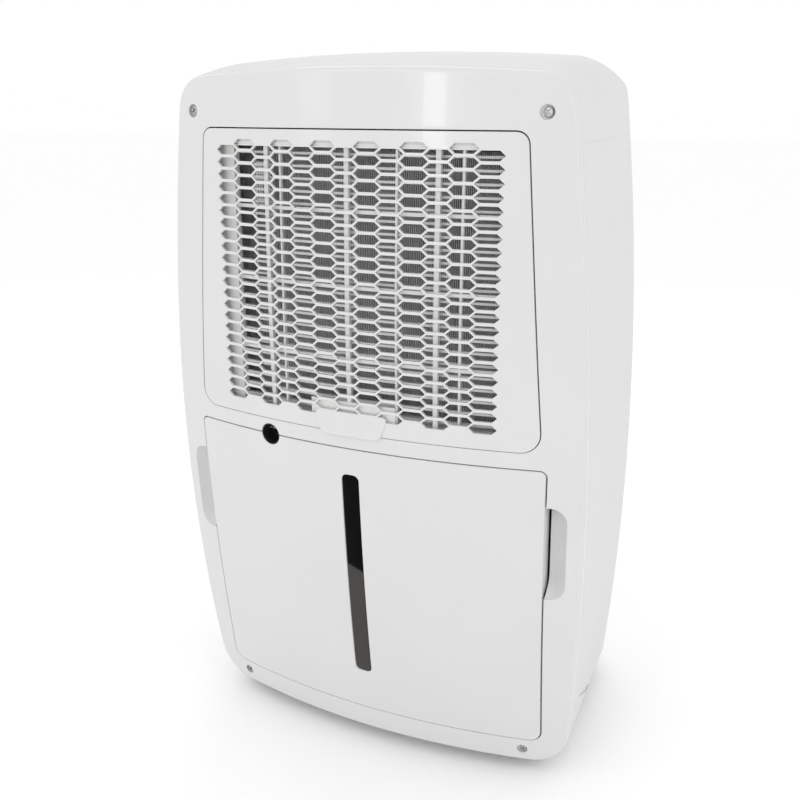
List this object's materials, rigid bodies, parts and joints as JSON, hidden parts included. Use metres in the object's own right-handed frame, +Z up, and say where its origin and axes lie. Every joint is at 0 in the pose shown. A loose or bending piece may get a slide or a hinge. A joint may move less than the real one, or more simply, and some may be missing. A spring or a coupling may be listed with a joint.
{
  "type": "dehumidifier",
  "caption": "Portable compressor dehumidifier with a bulged white face, hexagonal intake filter door, pull-out water bucket with a level window, and casters.",
  "frame": {"origin": "on the floor, under the middle of the whole machine", "axes": "+Z up; the intake face with the bucket looks along -Y; +X to the right of someone who looks at that face"},
  "size_m": [0.3836, 0.282, 0.6156],
  "materials": {
    "white_plastic": "glossy moulded white plastic",
    "screen_plastic": "satin moulded white plastic",
    "inner_plastic": "plain moulded grey plastic",
    "window_plastic": "smoked clear plastic",
    "dark_plastic": "black moulded plastic",
    "foam": "closed-cell foam",
    "rubber": "soft black rubber",
    "steel": "zinc-plated steel",
    "enamel": "black enamel",
    "aluminium": "thin aluminium",
    "copper": "drawn copper pipe",
    "circuit_board": "green laminate"
  },
  "bodies": {
    "cabinet": {"front_panel": "white_plastic", "bucket_surround": "white_plastic", "cabinet_wrap": "white_plastic", "top_cover": "white_plastic", "base_pan": "inner_plastic", "mid_frame": "inner_plastic", "bucket_switch": "dark_plastic", "evaporator_fins": "aluminium", "evaporator_pipes": "copper", "condenser_fins": "aluminium", "condenser_pipes": "copper", "drip_tray": "inner_plastic", "drain_spigot": "dark_plastic", "compressor": "enamel", "discharge_pipe": "copper", "suction_pipe": "copper", "capillary_tube": "copper", "foot_grommet_1": "rubber", "foot_grommet_2": "rubber", "foot_grommet_3": "rubber", "foot_nut_1": "steel", "foot_nut_2": "steel", "foot_nut_3": "steel", "fan_duct": "inner_plastic", "fan_motor": "steel", "motor_bracket": "steel", "exhaust_grille": "white_plastic", "cord_inlet": "dark_plastic", "electric_box": "dark_plastic", "run_capacitor": "aluminium", "control_fascia": "inner_plastic", "display_lens": "window_plastic", "control_board": "circuit_board", "panel_screw_top_left": "steel", "panel_screw_top_right": "steel", "panel_screw_bottom_left": "steel", "panel_screw_bottom_right": "steel"},
    "filter": {"filter_door": "white_plastic", "filter_screen": "screen_plastic"},
    "bucket": {"bucket_front": "white_plastic", "bucket_window": "window_plastic", "bucket_tank": "inner_plastic", "bucket_lid": "inner_plastic"},
    "float": {"bucket_float": "foam"},
    "plunger": {"switch_plunger": "dark_plastic"},
    "fan": {"fan_wheel": "dark_plastic", "fan_nut": "steel"},
    "button_power": {"button_power": "screen_plastic"},
    "button_fan_speed": {"button_fan_speed": "screen_plastic"},
    "button_timer": {"button_timer": "screen_plastic"},
    "button_drier": {"button_drier": "screen_plastic"},
    "button_wetter": {"button_wetter": "screen_plastic"},
    "fork_front_left": {"caster_fork_front_left": "dark_plastic"},
    "wheel_front_left": {"caster_wheel_front_left": "rubber"},
    "fork_front_right": {"caster_fork_front_right": "dark_plastic"},
    "wheel_front_right": {"caster_wheel_front_right": "rubber"},
    "fork_rear_left": {"caster_fork_rear_left": "dark_plastic"},
    "wheel_rear_left": {"caster_wheel_rear_left": "rubber"},
    "fork_rear_right": {"caster_fork_rear_right": "dark_plastic"},
    "wheel_rear_right": {"caster_wheel_rear_right": "rubber"}
  },
  "joints": [
    {"name": "filter_tilt", "type": "hinge", "parent": "cabinet", "child": "filter", "pos_m": [0, -0.1398, 0.5544], "axis": [-1, 0, 0], "range_deg": [0, 40]},
    {"name": "bucket_slide", "type": "slide", "parent": "cabinet", "child": "bucket", "axis": [0, -1, 0], "range_m": [0, 0.17]},
    {"name": "float_rise", "type": "hinge", "parent": "bucket", "child": "float", "pos_m": [-0.1, -0.03, 0.263], "axis": [1, 0, 0], "range_deg": [0, 14]},
    {"name": "switch_press", "type": "slide", "parent": "cabinet", "child": "plunger", "axis": [0, 1, 0], "range_m": [0, 0.003], "stiffness_N_per_m": 200},
    {"name": "fan_spin", "type": "hinge", "parent": "cabinet", "child": "fan", "pos_m": [0, 0, 0.42815], "axis": [0, 1, 0], "continuous": true},
    {"name": "press_power", "type": "slide", "parent": "cabinet", "child": "button_power", "axis": [0, -0.1116, -0.9938], "range_m": [0, 0.0012], "stiffness_N_per_m": 300},
    {"name": "press_fan_speed", "type": "slide", "parent": "cabinet", "child": "button_fan_speed", "axis": [0, -0.1116, -0.9938], "range_m": [0, 0.0012], "stiffness_N_per_m": 300},
    {"name": "press_timer", "type": "slide", "parent": "cabinet", "child": "button_timer", "axis": [0, -0.1116, -0.9938], "range_m": [0, 0.0012], "stiffness_N_per_m": 300},
    {"name": "press_drier", "type": "slide", "parent": "cabinet", "child": "button_drier", "axis": [0, -0.1116, -0.9938], "range_m": [0, 0.0012], "stiffness_N_per_m": 300},
    {"name": "press_wetter", "type": "slide", "parent": "cabinet", "child": "button_wetter", "axis": [0, -0.1116, -0.9938], "range_m": [0, 0.0012], "stiffness_N_per_m": 300},
    {"name": "swivel_front_left", "type": "hinge", "parent": "cabinet", "child": "fork_front_left", "pos_m": [-0.125, -0.038, 0.03], "axis": [0, 0, 1], "continuous": true},
    {"name": "roll_front_left", "type": "hinge", "parent": "fork_front_left", "child": "wheel_front_left", "pos_m": [-0.125, -0.03, 0.014], "axis": [1, 0, 0], "continuous": true},
    {"name": "swivel_front_right", "type": "hinge", "parent": "cabinet", "child": "fork_front_right", "pos_m": [0.125, -0.038, 0.03], "axis": [0, 0, 1], "continuous": true},
    {"name": "roll_front_right", "type": "hinge", "parent": "fork_front_right", "child": "wheel_front_right", "pos_m": [0.125, -0.03, 0.014], "axis": [1, 0, 0], "continuous": true},
    {"name": "swivel_rear_left", "type": "hinge", "parent": "cabinet", "child": "fork_rear_left", "pos_m": [-0.12, 0.105, 0.03], "axis": [0, 0, 1], "continuous": true},
    {"name": "roll_rear_left", "type": "hinge", "parent": "fork_rear_left", "child": "wheel_rear_left", "pos_m": [-0.12, 0.113, 0.014], "axis": [1, 0, 0], "continuous": true},
    {"name": "swivel_rear_right", "type": "hinge", "parent": "cabinet", "child": "fork_rear_right", "pos_m": [0.12, 0.105, 0.03], "axis": [0, 0, 1], "continuous": true},
    {"name": "roll_rear_right", "type": "hinge", "parent": "fork_rear_right", "child": "wheel_rear_right", "pos_m": [0.12, 0.113, 0.014], "axis": [1, 0, 0], "continuous": true}
  ]
}
